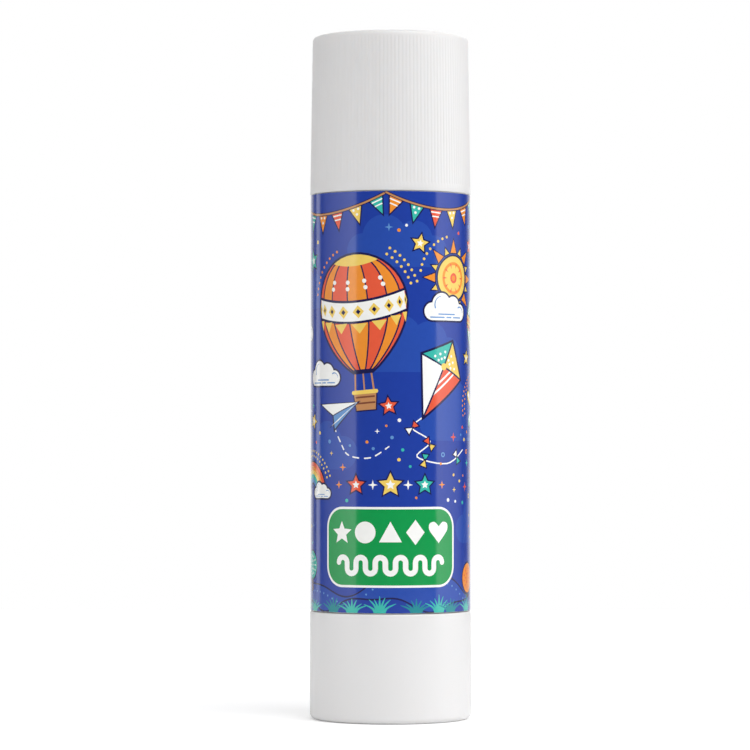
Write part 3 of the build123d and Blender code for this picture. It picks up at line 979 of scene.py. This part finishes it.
def make_label():
    """Thin closed film round the barrel, cut along the print so that each ink has its own faces."""
    artwork()
    top = label_height
    columns, rows, lap_columns, margin = 126, 12, 8, 3
    slope_end = film_right - film_lap
    xs = [film_left + (film_right - film_left) * n / columns for n in range(1, columns)]
    xs = sorted(xs + list(np.linspace(slope_end - film_slope, slope_end, lap_columns)))
    ys = [top * n / rows for n in range(1, rows)]

    def lattice(left, right, low, high):
        """Upright and level lines that keep the faces short enough to bend round the barrel."""
        return [[(x, low), (x, high)] for x in xs] + [[(left, y), (right, y)] for y in ys]

    lines = [[(film_left, 0), (film_right, 0), (film_right, top), (film_left, top), (film_left, 0)]]
    lines += lattice(film_left, film_right, 0, top)
    for _, outline in shapes:
        clipped = np.clip(outline, (film_left - margin, -margin), (film_right + margin, top + margin))
        lines.append([*clipped, clipped[0]])
    front, triangles = cut_film(lines, 0)
    names = list(inks)
    colour = np.zeros(len(triangles), int)
    centres = front[triangles].mean(1)
    for ink, outline in shapes:
        colour[inside(centres, outline)] = names.index(ink)

    # The back of the film has no print, so it takes the front's rim and few faces of its own
    sides = {(a, b) for t in triangles.tolist() for a, b in (t[:2], t[1:], (t[2], t[0]))}
    rim = sorted((a, b) for a, b in sides if (b, a) not in sides)
    lines = [[front[a], front[b]] for a, b in rim] + lattice(xs[0], xs[-1], ys[0], ys[-1])
    behind, back_triangles = cut_film(lines, 1)
    behind_index = {tuple(np.round(p, 4)): n for n, p in enumerate(behind)}
    opposite = {a: len(front) + behind_index[tuple(np.round(front[a], 4))] for a, b in rim}

    def wrapped(flat, depth):
        """Places on the barrel of corners of the flat film, and their outward directions."""
        x, y = flat[:, 0], flat[:, 1]
        rise = np.clip((x - slope_end) / film_slope + 1, 0, 1)
        rise = rise * rise * (3 - 2 * rise)
        radius = label_radius / MM + rise * film_step - depth
        angle = x / (label_radius / MM) - pi / 2
        radial = np.stack([np.cos(angle), np.sin(angle), np.zeros(len(x))], 1)
        places = np.stack([radius * radial[:, 0], radius * radial[:, 1], y + label_low.z / MM], 1)
        return places * MM, radial

    outer, radial = wrapped(front, 0)
    back, back_radial = wrapped(behind, film_thickness)
    vertices = np.concatenate([outer, back])
    polygons = triangles.tolist() + (back_triangles[:, ::-1] + len(front)).tolist()
    polygons += [(a, opposite[a], opposite[b], b) for a, b in rim]
    slots = list(colour) + [names.index("film_back")] * (len(back_triangles) + len(rim))
    normals = radial[triangles].reshape(-1, 3).tolist()
    normals += (-back_radial[back_triangles[:, ::-1]]).reshape(-1, 3).tolist()
    for a, b in rim:
        out = np.cross(outer[b] - outer[a], radial[a] + radial[b])
        normals += [tuple(out / max(np.linalg.norm(out), 1e-12))] * 4
    mesh = bpy.data.meshes.new("printed_label")
    mesh.from_pydata(vertices.tolist(), [], polygons)
    for name, colour_code in inks.items():
        mesh.materials.append(printed_film(name, colour_code))
    mesh.polygons.foreach_set("material_index", slots)
    mesh.polygons.foreach_set("use_smooth", [True] * len(polygons))
    mesh.normals_split_custom_set(normals)
    return in_scene("printed_label", mesh)


cap = make_cap()
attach(cap, "cap")
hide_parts("cap")

knob = make_knob()
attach(knob, "knob")
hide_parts("knob")

glue = make_glue()
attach(glue, "carrier")
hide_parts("glue")

label = make_label()
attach(label, "barrel")
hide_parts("label")

# The barrel, the spindle and the carrier keep their solids and get their plastics
for node, material in (("barrel", barrel_plastic), ("spindle", inner_plastic), ("carrier", inner_plastic)):
    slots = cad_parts[node].data.materials
    slots.clear()
    slots.append(material)


# Floor, backdrop and light

table_half = 0.25
light_distance = 0.8
white = (1, 1, 1, 1)


def make_floor():
    """Pale table top that keeps the stick's soft shadow and is lifted to white for the camera. It ends
    before it would show in the upright faces of the glossy label."""
    mesh = bpy.data.meshes.new("floor")
    corners = [(x * table_half, y * table_half, 0) for x, y in ((-1, -1), (1, -1), (1, 1), (-1, 1))]
    mesh.from_pydata(corners, [], [(0, 1, 2, 3)])
    material, tree, shader = node_material("floor_paint")
    feed(tree, shader, {"Base Color": (0.9, 0.9, 0.9, 1), "Roughness": 0.9, "Specular IOR Level": 0})
    place = add(tree, "TexCoord").outputs["Object"]
    distance = add(tree, "VectorMath", {0: place}, operation="LENGTH").outputs["Value"]
    fade = remap(tree, distance, 0.3, 1.0, (0.02, 0.4), interpolation_type="SMOOTHSTEP")
    for_camera = add(tree, "LightPath").outputs["Is Camera Ray"]
    dark = add(tree, "Emission", {"Strength": 0}).outputs[0]
    lift = add(tree, "Emission", {"Strength": fade}).outputs[0]
    choose = add(tree, "MixShader", {0: for_camera, 1: dark, 2: lift}).outputs[0]
    total = add(tree, "AddShader", {0: shader.outputs[0], 1: choose}).outputs[0]
    feed(tree, tree.nodes["Material Output"], {"Surface": total})
    mesh.materials.append(material)
    in_scene("floor", mesh)


def make_world():
    """White backdrop all round for the camera; reflections see it dim on the side where the camera stands."""
    world = bpy.data.worlds.new("studio")
    bpy.context.scene.world = world
    world.use_nodes = True
    tree = world.node_tree
    tree.nodes.clear()
    backdrop = lambda strength: add(tree, "Background", {"Color": white, "Strength": strength}).outputs[0]
    place = add(tree, "TexCoord").outputs["Generated"]
    depth = add(tree, "SeparateXYZ", {0: place}).outputs["Y"]
    room = backdrop(remap(tree, depth, 0.07, 1.0, (0.75, 1.0), interpolation_type="SMOOTHSTEP"))
    path = add(tree, "LightPath").outputs
    directly = {0: path["Is Camera Ray"], 1: path["Is Transmission Ray"]}
    seen = add(tree, "Math", directly, operation="MAXIMUM").outputs[0]
    mirrored = add(tree, "MixShader", {0: path["Is Glossy Ray"], 1: backdrop(0.38), 2: room}).outputs[0]
    total = add(tree, "MixShader", {0: seen, 1: mirrored, 2: backdrop(1.0)}).outputs[0]
    add(tree, "OutputWorld", {"Surface": total})


def softbox(name, azimuth, elevation, spread, rise, brightness, far_share=1):
    """Soft light aimed at the stick's middle. Azimuth 0 is the camera's side and 90 its right.
    Spread and rise are half its width and height as seen from the stick, in degrees, and its brightness
    fades from the camera's side of the box to this share of itself on the far side."""
    light = bpy.data.lights.new(name, "AREA")
    light.shape = "RECTANGLE"
    light.size = 2 * light_distance * tan(radians(spread))
    light.size_y = 2 * light_distance * tan(radians(rise))
    light.energy = brightness * pi * light.size * light.size_y
    light.use_nodes = True
    tree = light.node_tree
    place = add(tree, "NewGeometry").outputs["Parametric"]
    across = add(tree, "SeparateXYZ", {0: place}).outputs["X"]
    ends = (far_share, 1) if azimuth < 0 else (1, far_share)
    feed(tree, tree.nodes["Emission"], {"Strength": remap(tree, across, *ends, (0, 1))})
    lamp = in_scene(name, light)
    a, e = radians(azimuth), radians(elevation)
    towards = Vector((sin(a) * cos(e), -cos(a) * cos(e), sin(e)))
    middle = Vector((0, 0, (cad_low.z + cad_high.z) / 2))
    lamp.location = middle + towards * light_distance
    lamp.rotation_mode = "QUATERNION"
    lamp.rotation_quaternion = (-towards).to_track_quat("-Z", "Y")
    lamp.visible_camera = False


make_floor()
make_world()
softbox("left_box", -83, 4, 33, 13, 2.3, 0.02)
softbox("left_strip", -128, 4, 6, 20, 1.3)
softbox("right_box", 97, 4, 28, 20, 2.25, 0.02)
softbox("front_fill", 38, 46, 26, 26, 2.45)
softbox("back_fill", 168, 42, 28, 24, 1.0)

# Camera at the photograph's place
camera_data = bpy.data.cameras.new("camera")
camera_data.lens = camera_lens
camera_data.sensor_width = 36
camera_data.clip_start = 0.01
camera = in_scene("camera", camera_data)
camera.location = (0, -camera_distance, camera_height)
camera.rotation_mode = "QUATERNION"
camera.rotation_quaternion = (camera_target - camera.location).to_track_quat("-Z", "Y")
bpy.context.scene.camera = camera
bpy.context.scene.view_settings.view_transform = "Standard"
